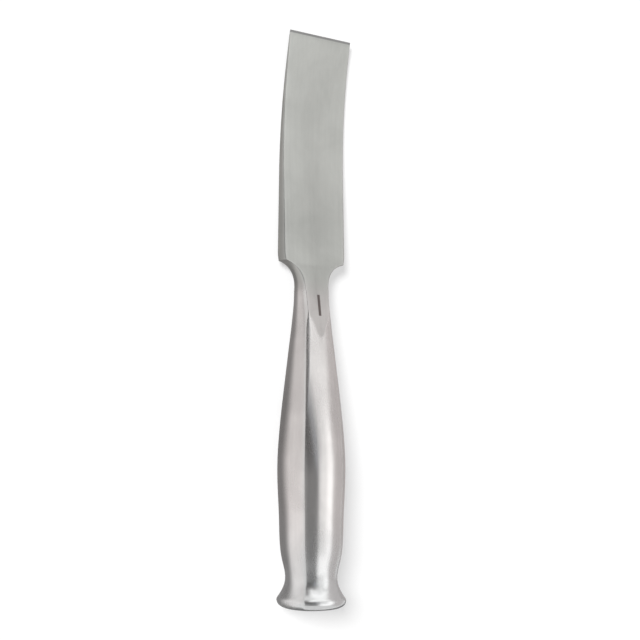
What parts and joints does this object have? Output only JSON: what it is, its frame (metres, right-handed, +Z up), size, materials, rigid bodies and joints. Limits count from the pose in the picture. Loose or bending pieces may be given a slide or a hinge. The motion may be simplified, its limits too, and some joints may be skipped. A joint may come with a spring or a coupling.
{
  "type": "osteotome",
  "caption": "One-piece steel osteotome: a curved wedge blade with a square cutting edge, a waisted neck and a creased handle that swells to a rimmed striking end.",
  "frame": {"origin": "middle of the bounding box at its lowest level, the surface that the tool lies on", "axes": "+Y from the striking end towards the cutting edge, +X across the blade, +Z up, with the hollow of the curved blade facing up"},
  "size_m": [0.0262, 0.2038, 0.029],
  "materials": {
    "satin_steel": "satin-brushed stainless steel, finer along the handle's creases and at the ground cutting edge"
  },
  "bodies": {
    "root": {"osteotome": "satin_steel"}
  },
  "joints": []
}
